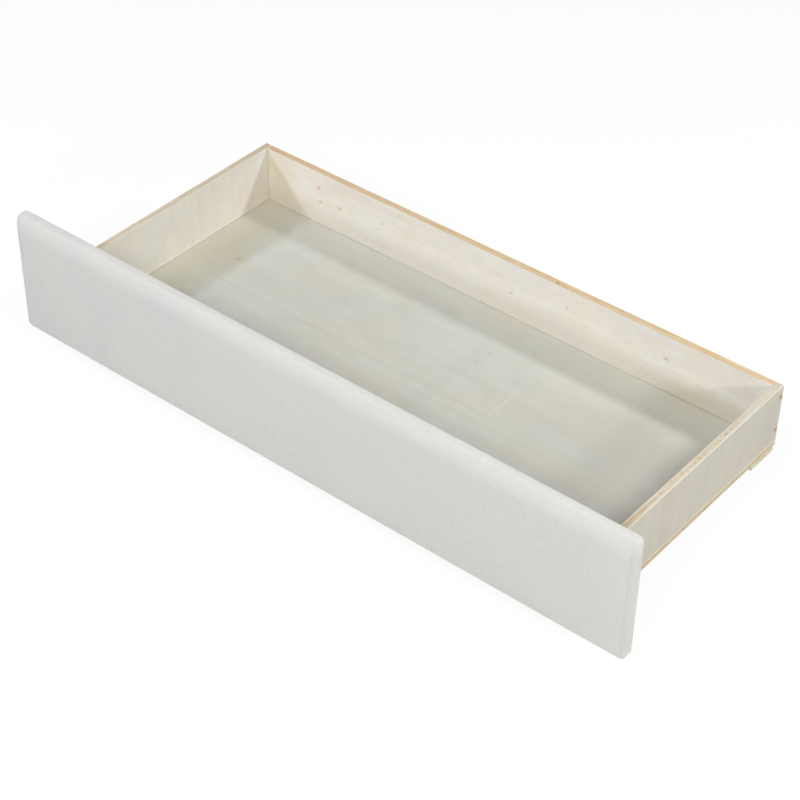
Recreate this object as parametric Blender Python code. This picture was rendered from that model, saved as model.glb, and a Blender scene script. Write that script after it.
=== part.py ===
"""Pull-out storage drawer of an upholstered daybed.

A padded, fabric-covered front is screwed to an open plywood box. The box stands on two cross battens,
each with two fixed casters, so the drawer rolls straight out along Y. Metres, +Z up, the origin on the
floor under the middle of the drawer, -Y towards the person who opens it.
"""

import math
from collections import namedtuple

import bmesh
import bpy
from mathutils import Matrix, Vector

MM = 0.001

# Fits
joint_gap = 0.3 * MM  # glue line, seat or running clearance between two pieces
cut_overrun = 2 * MM  # how far a cutter runs past the surface that it opens
weld_distance = 0.001 * MM  # points nearer than this are one point

# Padded front
front_length = 955 * MM
front_height = 176 * MM
front_corner_radius = 6 * MM  # seen from the front
front_edge_radius = 3.0 * MM  # where the face turns over to the edges
front_back_radius = 2.5 * MM  # where the cover turns on to the back
front_crown = 1.0 * MM
top_roll_width = 24 * MM  # how far in from an edge the padding starts to fall away
low_roll_width = 15 * MM
end_roll_width = 11 * MM
cover_thickness = 1.0 * MM
foam_thickness = 5.0 * MM
board_thickness = 12 * MM
cover_return = 32 * MM  # fabric turned on to the back of the board
lining_thickness = 0.4 * MM
lining_margin = 14 * MM  # bare fabric left around the lining

# Plywood box
box_width = 840 * MM
box_depth = 392 * MM
wall_height = 85 * MM
wall_thickness = 10 * MM
bottom_thickness = 9 * MM
front_drop = 16 * MM  # how far the front hangs below the bottom panel
plywood_arris = 0.5 * MM  # sanded edge

# Cross battens
batten_width = 50 * MM
batten_thickness = 7 * MM
rear_batten_inset = 3.5 * MM
front_batten_inset = 10 * MM
batten_arris = 0.5 * MM

# Casters
caster_inset = 70 * MM  # from the outside of the box to the middle of a caster
wheel_radius = 15 * MM
wheel_width = 14 * MM
wheel_shoulder = 2 * MM
wheel_rim = 3 * MM
wheel_web = 3 * MM
wheel_rib = 1.6 * MM
hub_radius = 5.5 * MM
hub_proud = 0.5 * MM
hub_clearance = 0.5 * MM
wheel_top_clearance = 5.5 * MM
axle_radius = 2.5 * MM
axle_head_radius = 4.5 * MM
axle_head_height = 1.8 * MM
sheet_thickness = 1.5 * MM
sheet_bend_radius = 1.5 * MM
plate_length = 44 * MM
plate_width = 34 * MM
plate_corner_radius = 4 * MM
plate_hole_margin = 5.5 * MM
cheek_width = 20 * MM
cheek_straight = 5 * MM
cheek_end_radius = 7 * MM
cheek_relief = 1.5 * MM

# Screws that hold the walls together at the corners, sunk flush
corner_screw_length = 35 * MM
corner_screw_shank_radius = 1.75 * MM
corner_screw_head_radius = 3.5 * MM
corner_screw_head_height = 2.3 * MM
corner_screw_sink = 0.3 * MM
corner_screw_from_top = 16 * MM
corner_screw_from_bottom = 18 * MM

# Screws that hold the front to the box, driven from inside the drawer
front_screw_length = 20 * MM
front_screw_shank_radius = 2 * MM
front_screw_head_radius = 4 * MM
front_screw_head_height = 2.4 * MM
front_screw_end_distance = 80 * MM
front_screw_count = 4

# Screws that hold the casters
caster_screw_length = 14 * MM
caster_screw_shank_radius = 1.75 * MM
caster_screw_head_radius = 3.2 * MM
caster_screw_head_height = 2.2 * MM

# Shares and counts
crown_reach_share = 0.8  # how much of the half height the crown rises over
edge_radius_limit_share = 0.9  # of the padding under it
top_roll_share = 0.9  # of the padding that the crown leaves at an edge, pressed down by the cover there
low_roll_share = 0.2
end_roll_share = 0.2
screw_tip_share = 1.6  # length of the point over the shank's radius
dome_shares = ((0.0, 1.0), (0.55, 0.88), (0.88, 0.5), (1.0, 0.0))  # radius and height of a domed head
corner_steps = 4
edge_steps = 4
back_edge_steps = 2
crown_steps = 2
roll_steps = 3
bend_steps = 3
wheel_steps = 24
wheel_pockets = 5
pocket_steps = 3
shoulder_steps = 2
axle_steps = 14
screw_steps = 10
cheek_end_steps = 8
plate_corner_steps = 2
smooth_angle = math.radians(35)

# Heights above the floor
axle_height = wheel_radius * math.cos(math.pi / wheel_steps)  # a flat of the tread lies on the floor
axle_drop = sheet_thickness + wheel_top_clearance + wheel_radius
caster_top = axle_height + axle_drop
batten_low = caster_top + joint_gap
bottom_low = batten_low + batten_thickness + joint_gap
bottom_high = bottom_low + bottom_thickness
wall_low = bottom_high + joint_gap
wall_high = wall_low + wall_height
front_low = bottom_low - front_drop
front_middle = front_low + front_height / 2

# Depths, from the face of the padding to the back of the box
front_thickness = 2 * cover_thickness + foam_thickness + board_thickness + lining_thickness + 4 * joint_gap
overall_depth = front_thickness + joint_gap + box_depth
padding_face = -overall_depth / 2
foam_back = padding_face + cover_thickness + joint_gap + foam_thickness
board_face = foam_back + joint_gap
board_back = board_face + board_thickness
return_face = board_back + joint_gap
return_back = return_face + cover_thickness
lining_face = return_back + joint_gap
lining_back = lining_face + lining_thickness
box_face = lining_back + joint_gap
box_back = box_face + box_depth

# Sizes that follow from the ones above
cover_edge_radius = min(
    front_edge_radius,
    cover_thickness + joint_gap + edge_radius_limit_share * (foam_thickness - front_crown),
)
board_edge_radius = cover_edge_radius - cover_thickness - joint_gap
rolls = {
    "top": (top_roll_width, top_roll_share * (foam_thickness - front_crown)),
    "low": (low_roll_width, low_roll_share * (foam_thickness - front_crown)),
    "end": (end_roll_width, end_roll_share * (foam_thickness - front_crown)),
}
half_box = box_width / 2
half_inside = half_box - wall_thickness - joint_gap
hub_half = wheel_width / 2 + hub_proud
cheek_inside = hub_half + hub_clearance
cheek_outside = cheek_inside + sheet_thickness

Finish = namedtuple("Finish", "name colour roughness metallic")
fabric = Finish("woven_upholstery_fabric", (0.66, 0.66, 0.63), 0.9, 0.0)
foam = Finish("polyurethane_foam", (0.80, 0.76, 0.60), 0.95, 0.0)
fibreboard = Finish("fibreboard", (0.36, 0.25, 0.15), 0.8, 0.0)
lining_cloth = Finish("nonwoven_lining", (0.55, 0.55, 0.53), 0.95, 0.0)
plywood = Finish("whitewashed_plywood", (0.66, 0.61, 0.50), 0.6, 0.0)
pine = Finish("raw_pine_batten", (0.71, 0.62, 0.44), 0.65, 0.0)
zinc_steel = Finish("zinc_plated_steel", (0.56, 0.57, 0.58), 0.35, 1.0)
yellow_zinc = Finish("yellow_zinc_steel", (0.62, 0.47, 0.20), 0.35, 1.0)
nylon = Finish("black_moulded_nylon", (0.02, 0.02, 0.02), 0.45, 0.0)

Screw = namedtuple("Screw", "length shank_radius head_radius head_height sunk")
corner_screw = Screw(
    corner_screw_length,
    corner_screw_shank_radius,
    corner_screw_head_radius,
    corner_screw_head_height,
    True,
)
front_screw = Screw(
    front_screw_length,
    front_screw_shank_radius,
    front_screw_head_radius,
    front_screw_head_height,
    False,
)
caster_screw = Screw(
    caster_screw_length,
    caster_screw_shank_radius,
    caster_screw_head_radius,
    caster_screw_head_height,
    False,
)


def clear_scene():
    for old in list(bpy.data.objects):
        bpy.data.objects.remove(old)


def material_for(finish):
    """The finish's Principled material, made once."""
    found = bpy.data.materials.get(finish.name)
    if found:
        return found
    made = bpy.data.materials.new(finish.name)
    made.use_nodes = True
    shader = made.node_tree.nodes["Principled BSDF"]
    shader.inputs["Base Color"].default_value = (*finish.colour, 1.0)
    shader.inputs["Roughness"].default_value = finish.roughness
    shader.inputs["Metallic"].default_value = finish.metallic
    return made


def finished_mesh(name, bm, smooth):
    """Closes the bmesh into a mesh with its faces pointing out."""
    bmesh.ops.recalc_face_normals(bm, faces=bm.faces)
    mesh = bpy.data.meshes.new(name)
    bm.to_mesh(mesh)
    bm.free()
    if smooth:
        mesh.shade_smooth()
        mesh.set_sharp_from_angle(angle=smooth_angle)
    return mesh


def add_object(name, mesh, finish):
    made = bpy.data.objects.new(name, mesh)
    bpy.context.collection.objects.link(made)
    if finish and not mesh.materials:
        mesh.materials.append(material_for(finish))
    return made


def add_guide(name, mesh):
    """A cutter or guide shape, which isn't a piece of the drawer."""
    guide = add_object(name, mesh, None)
    guide.hide_render = True
    guide.display_type = "WIRE"
    return guide


def combine(target, guide, operation):
    step = target.modifiers.new(guide.name, "BOOLEAN")
    step.solver = "EXACT"
    step.operation = operation
    step.object = guide


def baked_mesh(target, guides):
    """The target's mesh with its modifiers applied, for copies to share."""
    graph = bpy.context.evaluated_depsgraph_get()
    mesh = bpy.data.meshes.new_from_object(target.evaluated_get(graph))
    for used in [target, *guides]:
        bpy.data.objects.remove(used)
    return mesh


def block_mesh(name, low, high):
    bm = bmesh.new()
    size = Vector(high) - Vector(low)
    middle = (Vector(high) + Vector(low)) / 2
    bmesh.ops.create_cube(bm, size=1.0, matrix=Matrix.LocRotScale(middle, None, size))
    return finished_mesh(name, bm, smooth=False)


def panel(name, low, high, finish, arris):
    """A sawn board with its edges sanded off."""
    made = add_object(name, block_mesh(name, low, high), finish)
    sanded = made.modifiers.new("sanded_edges", "BEVEL")
    sanded.width = arris
    sanded.segments = 1
    return made


def prism_mesh(name, prisms, frame=None):
    """Outlines in a plane, each pushed through from its low to its high along the plane's normal."""
    bm = bmesh.new()
    for outline, low, high in prisms:
        base = bm.faces.new([bm.verts.new((u, v, low)) for u, v in outline])
        pushed = bmesh.ops.extrude_face_region(bm, geom=[base])["geom"]
        moved = [item for item in pushed if isinstance(item, bmesh.types.BMVert)]
        bmesh.ops.translate(bm, verts=moved, vec=(0, 0, high - low))
    if frame:
        bm.transform(frame)
    return finished_mesh(name, bm, smooth=False)


def loft_mesh(name, rings, smooth):
    """A skin over rings of equally many points, closed by a face at each end."""
    bm = bmesh.new()
    rows = [[bm.verts.new(point) for point in ring] for ring in rings]
    count = len(rows[0])
    for row, following in zip(rows, rows[1:]):
        for i in range(count):
            j = (i + 1) % count
            bm.faces.new((row[i], row[j], following[j], following[i]))
    bm.faces.new(rows[0])
    bm.faces.new(rows[-1])
    return finished_mesh(name, bm, smooth)


def turned_mesh(name, profile, steps, placings=(Matrix(),), smooth=True):
    """A profile of (radius, height) points turned about Z: one body for each placing, all in one mesh."""
    whole = bmesh.new()
    for placing in placings:
        bm = bmesh.new()
        half_step = Matrix.Rotation(math.pi / steps, 4, "Z")
        verts = [bm.verts.new(half_step @ Vector((radius, 0, height))) for radius, height in profile]
        starts_on_axis = profile[0][0] == 0
        following = verts[1:] if starts_on_axis else verts[1:] + verts[:1]
        edges = [bm.edges.new(pair) for pair in zip(verts, following)]
        bmesh.ops.spin(
            bm,
            geom=verts + edges,
            cent=(0, 0, 0),
            axis=(0, 0, 1),
            angle=2 * math.pi,
            steps=steps,
            use_merge=True,
        )
        bmesh.ops.remove_doubles(bm, verts=bm.verts, dist=weld_distance)
        bm.transform(placing)
        one = bpy.data.meshes.new(name)
        bm.to_mesh(one)
        bm.free()
        whole.from_mesh(one)
        bpy.data.meshes.remove(one)
    return finished_mesh(name, whole, smooth)


def facing(point, outward):
    """Puts a turned piece's height 0 at the point, with its top turned outward."""
    return Matrix.Translation(point) @ Vector(outward).to_track_quat("Z", "Y").to_matrix().to_4x4()


def front_outline(inset, radius):
    """The front's outline, drawn in by the inset: places across and up from its middle."""
    half_length = front_length / 2 - inset
    half_height = front_height / 2 - inset
    places = []
    for quarter in range(4):
        side_x = 1 if quarter in (0, 3) else -1
        side_z = 1 if quarter in (0, 1) else -1
        for step in range(corner_steps + 1):
            angle = (quarter + step / corner_steps) * math.pi / 2
            x = side_x * (half_length - radius) + radius * math.cos(angle)
            z = side_z * (half_height - radius) + radius * math.sin(angle)
            places.append((x, z))
    return places


def front_ring(inset, y, radius):
    return [(x, y, front_middle + z) for x, z in front_outline(inset, radius)]


def roll_drop(side, distance):
    """How far the cover presses the padding down at a distance from one edge."""
    width, depth = rolls[side]
    return depth * max(0, 1 - distance / width) ** 2


def face_ring(inset, depth, fall, radius):
    """A ring on the face of a layer that lies depth under the cover's: the crown less the rolls into the edges."""
    crown_run = crown_reach_share * front_height / 2 - cover_edge_radius
    share = min(1, max(0, inset - cover_edge_radius) / crown_run)
    crown = front_crown * (1 - math.sin(share * math.pi / 2))
    ring = []
    for x, z in front_outline(inset, radius):
        to_end = front_length / 2 - abs(x) - depth
        to_edge = front_height / 2 - abs(z) - depth
        drop = math.hypot(roll_drop("end", to_end), roll_drop("top" if z > 0 else "low", to_edge))
        ring.append((x, padding_face + depth + crown + drop + fall, front_middle + z))
    return ring


def padded_rings(depth):
    """Rings of a layer that lies depth under the cover's face, from its middle to where the turn starts."""
    corner = front_corner_radius - depth
    crown_reach = crown_reach_share * front_height / 2
    insets = [top_roll_width + (crown_reach - top_roll_width) * k / crown_steps for k in range(crown_steps, 0, -1)]
    roll_run = top_roll_width - cover_edge_radius
    insets += [cover_edge_radius + roll_run * (k / roll_steps) for k in range(roll_steps, -1, -1)]
    return [face_ring(inset, depth, 0, corner) for inset in insets]


def turn_rings(depth):
    """Rings of the turn from the face to the edge, after the one that it starts from."""
    turn = cover_edge_radius - depth
    rings = []
    for step in range(edge_steps - 1, -1, -1):
        angle = step / edge_steps * math.pi / 2
        inset = depth + turn * (1 - math.cos(angle))
        rings.append(face_ring(inset, depth, turn * (1 - math.sin(angle)), front_corner_radius - depth))
    return rings


def back_rings(depth, back_y):
    """Rings of the turn from the edge to a back face that lies depth under the cover's back."""
    turn = front_back_radius - depth
    corner = front_corner_radius - depth
    rings = []
    for step in range(back_edge_steps + 1):
        angle = step / back_edge_steps * math.pi / 2
        inset = depth + turn * (1 - math.cos(angle))
        rings.append(front_ring(inset, back_y - turn * (1 - math.sin(angle)), corner))
    return rings


def build_front():
    """Board, foam on its face, the cover wrapped round both, and the lining over the cover's raw edges."""
    under = cover_thickness + joint_gap
    outside = padded_rings(0) + turn_rings(0) + back_rings(0, return_back)
    inside = padded_rings(cover_thickness) + turn_rings(cover_thickness) + back_rings(cover_thickness, return_face)
    window = [
        front_ring(cover_return, return_back, front_corner_radius),
        front_ring(cover_return, return_face, front_corner_radius),
    ]
    cover_rings = outside + window + inside[::-1]
    add_object("front_cover", loft_mesh("front_cover", cover_rings, smooth=True), fabric)

    foam_rings = padded_rings(under)
    foam_rings.append(front_ring(cover_edge_radius, foam_back, front_corner_radius - under))
    add_object("front_foam", loft_mesh("front_foam", foam_rings, smooth=True), foam)

    board_rings = []
    for step in range(edge_steps, -1, -1):
        angle = step / edge_steps * math.pi / 2
        inset = under + board_edge_radius * (1 - math.cos(angle))
        y = board_face + board_edge_radius * (1 - math.sin(angle))
        board_rings.append(front_ring(inset, y, front_corner_radius - under))
    board_rings += back_rings(under, board_back)
    add_object("front_board", loft_mesh("front_board", board_rings, smooth=True), fibreboard)

    lining_rings = [front_ring(lining_margin, y, front_corner_radius) for y in (lining_face, lining_back)]
    add_object("front_lining", loft_mesh("front_lining", lining_rings, smooth=False), lining_cloth)


def build_box():
    """Sides run from the front to the back, the two cross walls stand between them, all on one bottom."""
    wall_ends = {
        "left_side": ((-half_box, box_face), (-half_box + wall_thickness, box_back)),
        "right_side": ((half_box - wall_thickness, box_face), (half_box, box_back)),
        "inner_front": ((-half_inside, box_face), (half_inside, box_face + wall_thickness)),
        "back_panel": ((-half_inside, box_back - wall_thickness), (half_inside, box_back)),
    }
    for name, (low, high) in wall_ends.items():
        panel(name, (*low, wall_low), (*high, wall_high), plywood, plywood_arris)
    panel(
        "bottom_panel",
        (-half_box, box_face, bottom_low),
        (half_box, box_back, bottom_high),
        plywood,
        plywood_arris,
    )


def batten_spans():
    front = box_face + front_batten_inset
    rear = box_back - rear_batten_inset - batten_width
    return {"front_batten": front, "rear_batten": rear}


def build_battens():
    for name, start in batten_spans().items():
        low = (-half_box, start, batten_low)
        high = (half_box, start + batten_width, batten_low + batten_thickness)
        panel(name, low, high, pine, batten_arris)


def screw_profile(screw):
    """Half outline of a wood screw, from the middle of its head to its point."""
    shank = screw.shank_radius
    if screw.sunk:
        head = [(0, 0), (screw.head_radius, 0), (shank, -screw.head_height)]
    else:
        head = [(screw.head_radius * r, screw.head_height * h) for r, h in dome_shares]
        head.append((shank, 0))
    return head + [(shank, -screw.length + screw_tip_share * shank), (0, -screw.length)]


def hole_profile(screw):
    """The hole that the screw sits in, a joint_gap wider all round."""
    bore = screw.shank_radius + joint_gap
    mouth = [(0, cut_overrun), (bore, cut_overrun)]
    if screw.sunk:
        sink = screw.head_radius + joint_gap
        mouth = [(0, cut_overrun), (sink, cut_overrun), (sink, 0), (bore, -screw.head_height)]
    shank_end = -screw.length + screw_tip_share * screw.shank_radius
    return mouth + [(bore, shank_end), (0, -screw.length - joint_gap)]


def corner_screw_places():
    places = {}
    for side_name, side in (("left", -1), ("right", 1)):
        for end_name, y in (
            ("front", box_face + wall_thickness / 2),
            ("rear", box_back - wall_thickness / 2),
        ):
            for level_name, z in (
                ("upper", wall_high - corner_screw_from_top),
                ("lower", wall_low + corner_screw_from_bottom),
            ):
                head = (side * (half_box - corner_screw_sink), y, z)
                places[f"corner_screw_{end_name}_{side_name}_{level_name}"] = facing(head, (side, 0, 0))
    return places


def front_screw_places():
    reach = half_inside - front_screw_end_distance
    seat = box_face + wall_thickness + joint_gap
    middle = wall_low + wall_height / 2
    places = {}
    for k in range(front_screw_count):
        x = -reach + 2 * reach * k / (front_screw_count - 1)
        places[f"front_screw_{k + 1}"] = facing((x, seat, middle), (0, 1, 0))
    return places


def caster_screw_places():
    """The four screws of one caster, in the caster's own frame."""
    across = plate_width / 2 - plate_hole_margin
    along = plate_length / 2 - plate_hole_margin
    seat = -sheet_thickness - joint_gap
    corners = ((-1, -1), (1, -1), (1, 1), (-1, 1))
    return [facing((u * across, v * along, seat), (0, 0, -1)) for u, v in corners]


def caster_places():
    places = {}
    for end_name, start in (("front", "front_batten"), ("rear", "rear_batten")):
        y = batten_spans()[start] + batten_width / 2
        for side_name, side in (("left", -1), ("right", 1)):
            places[f"{end_name}_{side_name}"] = Vector((side * (half_box - caster_inset), y, caster_top))
    return places


def bracket_mesh():
    """Pressed steel: a screw plate with two cheeks bent down from it, drawn in to a round end at the axle."""
    bend = sheet_bend_radius + sheet_thickness
    low = -(axle_drop + cheek_end_radius + cut_overrun)
    section = []
    for side in (-1, 1):
        outer = [(side * cheek_outside, low)]
        inner = [(side * cheek_inside, low)]
        for step in range(bend_steps + 1):
            angle = step / bend_steps * math.pi / 2
            turn_x, turn_z = math.cos(angle), math.sin(angle)
            outer.append((side * (cheek_outside - bend + bend * turn_x), bend * (turn_z - 1)))
            inner.append(
                (
                    side * (cheek_outside - bend + sheet_bend_radius * turn_x),
                    sheet_bend_radius * turn_z - bend,
                )
            )
        section.append((outer, inner))
    (left_outer, left_inner), (right_outer, right_inner) = section
    channel = left_outer + right_outer[::-1] + right_inner + left_inner[::-1]
    across_to_y = Matrix(((1, 0, 0, 0), (0, 0, 1, 0), (0, 1, 0, 0), (0, 0, 0, 1)))
    half_cheek = cheek_width / 2
    bracket = add_object(
        "bracket_blank", prism_mesh("bracket", [(channel, -half_cheek, half_cheek)], across_to_y), zinc_steel
    )

    to_shoulder = math.hypot(half_cheek, axle_drop - cheek_straight)
    tangent = math.atan2(axle_drop - cheek_straight, -half_cheek) + math.acos(cheek_end_radius / to_shoulder)
    cheek = [(-half_cheek - cut_overrun, cut_overrun), (-half_cheek - cut_overrun, -cheek_straight)]
    cheek.append((-half_cheek, -cheek_straight))
    for step in range(cheek_end_steps + 1):
        angle = tangent + (3 * math.pi - 2 * tangent) * step / cheek_end_steps
        end = (cheek_end_radius * math.cos(angle), cheek_end_radius * math.sin(angle) - axle_drop)
        cheek.append(end)
    cheek += [(half_cheek, -cheek_straight), (half_cheek + cut_overrun, -cheek_straight)]
    cheek.append((half_cheek + cut_overrun, cut_overrun))
    side_to_x = Matrix(((0, 0, 1, 0), (1, 0, 0, 0), (0, 1, 0, 0), (0, 0, 0, 1)))
    reach = cheek_outside + cut_overrun
    cheek_guide = add_guide("cheek_outline", prism_mesh("cheek_outline", [(cheek, -reach, reach)], side_to_x))
    combine(bracket, cheek_guide, "INTERSECT")

    waist = cheek_outside - bend
    notch = half_cheek + cheek_relief
    half_width = plate_width / 2 - plate_corner_radius
    half_length = plate_length / 2 - plate_corner_radius
    outline = []
    for side_y in (1, -1):
        corner_turns = range(plate_corner_steps + 1)
        first_side = side_y
        end = [(first_side * waist, side_y * notch), (first_side * plate_width / 2, side_y * notch)]
        for side_x in (first_side, -first_side):
            turns = corner_turns if side_x == first_side else reversed(corner_turns)
            for step in turns:
                angle = step / plate_corner_steps * math.pi / 2
                x = side_x * (half_width + plate_corner_radius * math.cos(angle))
                y = side_y * (half_length + plate_corner_radius * math.sin(angle))
                end.append((x, y))
        end += [(-first_side * plate_width / 2, side_y * notch), (-first_side * waist, side_y * notch)]
        outline += end
    plate_guide = add_guide("plate", prism_mesh("plate", [(outline, -sheet_thickness, 0)]))
    combine(bracket, plate_guide, "UNION")

    axle_hole = [(0, -reach), (axle_radius + joint_gap, -reach), (axle_radius + joint_gap, reach), (0, reach)]
    axle_guide = add_guide(
        "axle_hole",
        turned_mesh("axle_hole", axle_hole, axle_steps, [facing((0, 0, -axle_drop), (1, 0, 0))]),
    )
    combine(bracket, axle_guide, "DIFFERENCE")
    screw_guide = add_guide(
        "plate_holes",
        turned_mesh("plate_holes", hole_profile(caster_screw), screw_steps, caster_screw_places()),
    )
    combine(bracket, screw_guide, "DIFFERENCE")
    return baked_mesh(bracket, [cheek_guide, plate_guide, axle_guide, screw_guide])


def axle_mesh():
    """A rivet through both cheeks, domed alike at its two ends."""
    seat = cheek_outside + joint_gap
    upper = [(axle_head_radius * r, seat + axle_head_height * h) for r, h in dome_shares]
    upper.append((axle_radius, seat))
    lower = [(radius, -height) for radius, height in reversed(upper)]
    return turned_mesh("caster_axle", upper + lower, axle_steps)


def wheel_mesh():
    """A moulded wheel: hub, thin web with ribs on both sides, and a rim with rounded shoulders."""
    half_width = wheel_width / 2
    bore = axle_radius + joint_gap
    shoulder = []
    for step in range(shoulder_steps + 1):
        angle = step / shoulder_steps * math.pi / 2
        radius = wheel_radius - wheel_shoulder * (1 - math.sin(angle))
        shoulder.append((radius, half_width - wheel_shoulder * (1 - math.cos(angle))))
    side = [(bore, hub_half), (hub_radius, hub_half), (hub_radius, half_width), *shoulder]
    profile = side + [(radius, -height) for radius, height in reversed(side)]
    wheel = add_object("wheel_blank", turned_mesh("caster_wheel", profile, wheel_steps), nylon)

    pocket_radii = (wheel_radius - wheel_rim, hub_radius + wheel_rib / 2)
    pockets = []
    for k in range(wheel_pockets):
        middle = 2 * math.pi * k / wheel_pockets
        outline = []
        for radius, way in zip(pocket_radii, (1, -1)):
            spread = math.pi / wheel_pockets - math.asin(wheel_rib / 2 / radius)
            for step in range(pocket_steps + 1):
                angle = middle + way * spread * (2 * step / pocket_steps - 1)
                outline.append((radius * math.cos(angle), radius * math.sin(angle)))
        pockets.append((outline, wheel_web / 2, half_width + cut_overrun))
        pockets.append((outline, -half_width - cut_overrun, -wheel_web / 2))
    pocket_guide = add_guide("wheel_pockets", prism_mesh("wheel_pockets", pockets))
    combine(wheel, pocket_guide, "DIFFERENCE")
    return baked_mesh(wheel, [pocket_guide])


def build_casters():
    """Four alike, each on an empty at the middle of its plate's upper face."""
    bracket = bracket_mesh()
    axle = axle_mesh()
    wheel = wheel_mesh()
    screw = turned_mesh("caster_screw", screw_profile(caster_screw), screw_steps)
    for name, place in caster_places().items():
        holder = bpy.data.objects.new(f"{name}_caster", None)
        bpy.context.collection.objects.link(holder)
        holder.location = place
        add_object(f"{name}_caster_bracket", bracket, zinc_steel).parent = holder
        for piece, mesh, finish in (("caster_axle", axle, zinc_steel), ("wheel", wheel, nylon)):
            turning = add_object(f"{name}_{piece}", mesh, finish)
            turning.parent = holder
            turning.location = (0, 0, -axle_drop)
            turning.rotation_euler = (0, math.pi / 2, 0)
        for number, screw_place in enumerate(caster_screw_places(), start=1):
            placed = add_object(f"{name}_caster_screw_{number}", screw, zinc_steel)
            placed.parent = holder
            placed.matrix_local = screw_place


def build_screws():
    """Corner screws and front screws, and the holes of every screw in the boards that it passes."""
    for kind, places, label in (
        (corner_screw, corner_screw_places(), "corner_screw"),
        (front_screw, front_screw_places(), "front_screw"),
    ):
        mesh = turned_mesh(label, screw_profile(kind), screw_steps)
        for name, place in places.items():
            add_object(name, mesh, yellow_zinc).matrix_world = place

    caster_holes = [
        Matrix.Translation(place) @ screw_place
        for place in caster_places().values()
        for screw_place in caster_screw_places()
    ]
    for label, kind, places, drilled in (
        (
            "corner_screw_holes",
            corner_screw,
            list(corner_screw_places().values()),
            ("left_side", "right_side", "inner_front", "back_panel"),
        ),
        (
            "front_screw_holes",
            front_screw,
            list(front_screw_places().values()),
            ("inner_front", "front_lining", "front_board"),
        ),
        (
            "caster_screw_holes",
            caster_screw,
            caster_holes,
            ("front_batten", "rear_batten", "bottom_panel"),
        ),
    ):
        guide = add_guide(label, turned_mesh(label, hole_profile(kind), screw_steps, places))
        for name in drilled:
            combine(bpy.data.objects[name], guide, "DIFFERENCE")


clear_scene()
build_front()
build_box()
build_battens()
build_casters()
build_screws()
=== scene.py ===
import math

import bmesh
import bpy
import numpy as np
from mathutils import Matrix, Vector, noise


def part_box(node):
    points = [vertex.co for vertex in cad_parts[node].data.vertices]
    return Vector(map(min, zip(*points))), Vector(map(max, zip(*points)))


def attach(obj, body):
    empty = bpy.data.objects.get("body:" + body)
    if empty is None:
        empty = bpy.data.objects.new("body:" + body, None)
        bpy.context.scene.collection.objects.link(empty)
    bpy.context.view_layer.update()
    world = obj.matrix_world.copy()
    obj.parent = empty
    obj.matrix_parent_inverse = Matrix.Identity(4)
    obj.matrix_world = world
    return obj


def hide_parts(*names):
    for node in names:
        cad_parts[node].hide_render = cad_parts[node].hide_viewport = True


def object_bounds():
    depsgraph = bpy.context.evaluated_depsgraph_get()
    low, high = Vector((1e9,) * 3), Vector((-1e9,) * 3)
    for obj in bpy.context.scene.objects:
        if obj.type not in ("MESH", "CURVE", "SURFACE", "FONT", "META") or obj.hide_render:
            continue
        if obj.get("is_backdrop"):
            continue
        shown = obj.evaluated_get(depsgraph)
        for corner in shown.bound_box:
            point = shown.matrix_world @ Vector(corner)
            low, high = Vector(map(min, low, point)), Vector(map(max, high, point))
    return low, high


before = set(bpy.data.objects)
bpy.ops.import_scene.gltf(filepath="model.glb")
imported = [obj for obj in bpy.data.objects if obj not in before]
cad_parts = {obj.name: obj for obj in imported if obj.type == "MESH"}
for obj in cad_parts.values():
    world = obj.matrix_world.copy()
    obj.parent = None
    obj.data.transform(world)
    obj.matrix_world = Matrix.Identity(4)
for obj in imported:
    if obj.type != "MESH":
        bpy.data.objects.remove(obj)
cad_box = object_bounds()
MM = 0.001  # a millimetre, in metres

# Camera. A long lens looks down along the padded front, from the right, with the open box behind it. Its
# place and lens come from the drawer's own straight edges.
azimuth = math.radians(38.73)
elevation = math.radians(39.21)
roll = math.radians(0.92)
camera_place = (1.2772, -1.6018, 1.6946)
level_share = math.cos(elevation)
ahead = Vector((-math.sin(azimuth) * level_share, math.cos(azimuth) * level_share, -math.sin(elevation)))
level_right = ahead.cross(Vector((0, 0, 1))).normalized()
level_up = level_right.cross(ahead)
right = level_right * math.cos(roll) + level_up * math.sin(roll)
up = level_up * math.cos(roll) - level_right * math.sin(roll)
camera_data = bpy.data.cameras.new("studio_camera")
camera_data.lens = 93.14
camera_data.sensor_width = 36.0
camera = bpy.data.objects.new("studio_camera", camera_data)
camera_turn = Matrix((right, up, -ahead)).transposed()
camera.matrix_world = Matrix.Translation(camera_place) @ camera_turn.to_4x4()
bpy.context.collection.objects.link(camera)
bpy.context.scene.camera = camera
bpy.context.scene.view_settings.view_transform = "Standard"


# Studio. White paper lies under the drawer. Narrow softboxes stand to the left, to the right and behind, and
# wider ones hang above and in front, each with a faint tint of its own. The walls add a little warm light.
def linear(colour):
    """An sRGB hex colour as linear red, green, blue and 1."""
    parts = [int(colour[k : k + 2], 16) / 255 for k in (1, 3, 5)]
    return [p / 12.92 if p <= 0.04045 else ((p + 0.055) / 1.055) ** 2.4 for p in parts] + [1.0]


def fill(tree, node, inputs):
    """Fills a node's inputs, by name or place, each with a value, a socket or a node's first live output."""
    live = [socket for socket in node.inputs if socket.enabled]
    for key, value in inputs.items() if isinstance(inputs, dict) else enumerate(inputs):
        socket = live[key] if isinstance(key, int) else next(s for s in live if s.name == key)
        if isinstance(value, bpy.types.Node):
            value = next(s for s in value.outputs if s.enabled)
        if isinstance(value, bpy.types.NodeSocket):
            tree.links.new(value, socket)
        else:
            socket.default_value = value


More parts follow.
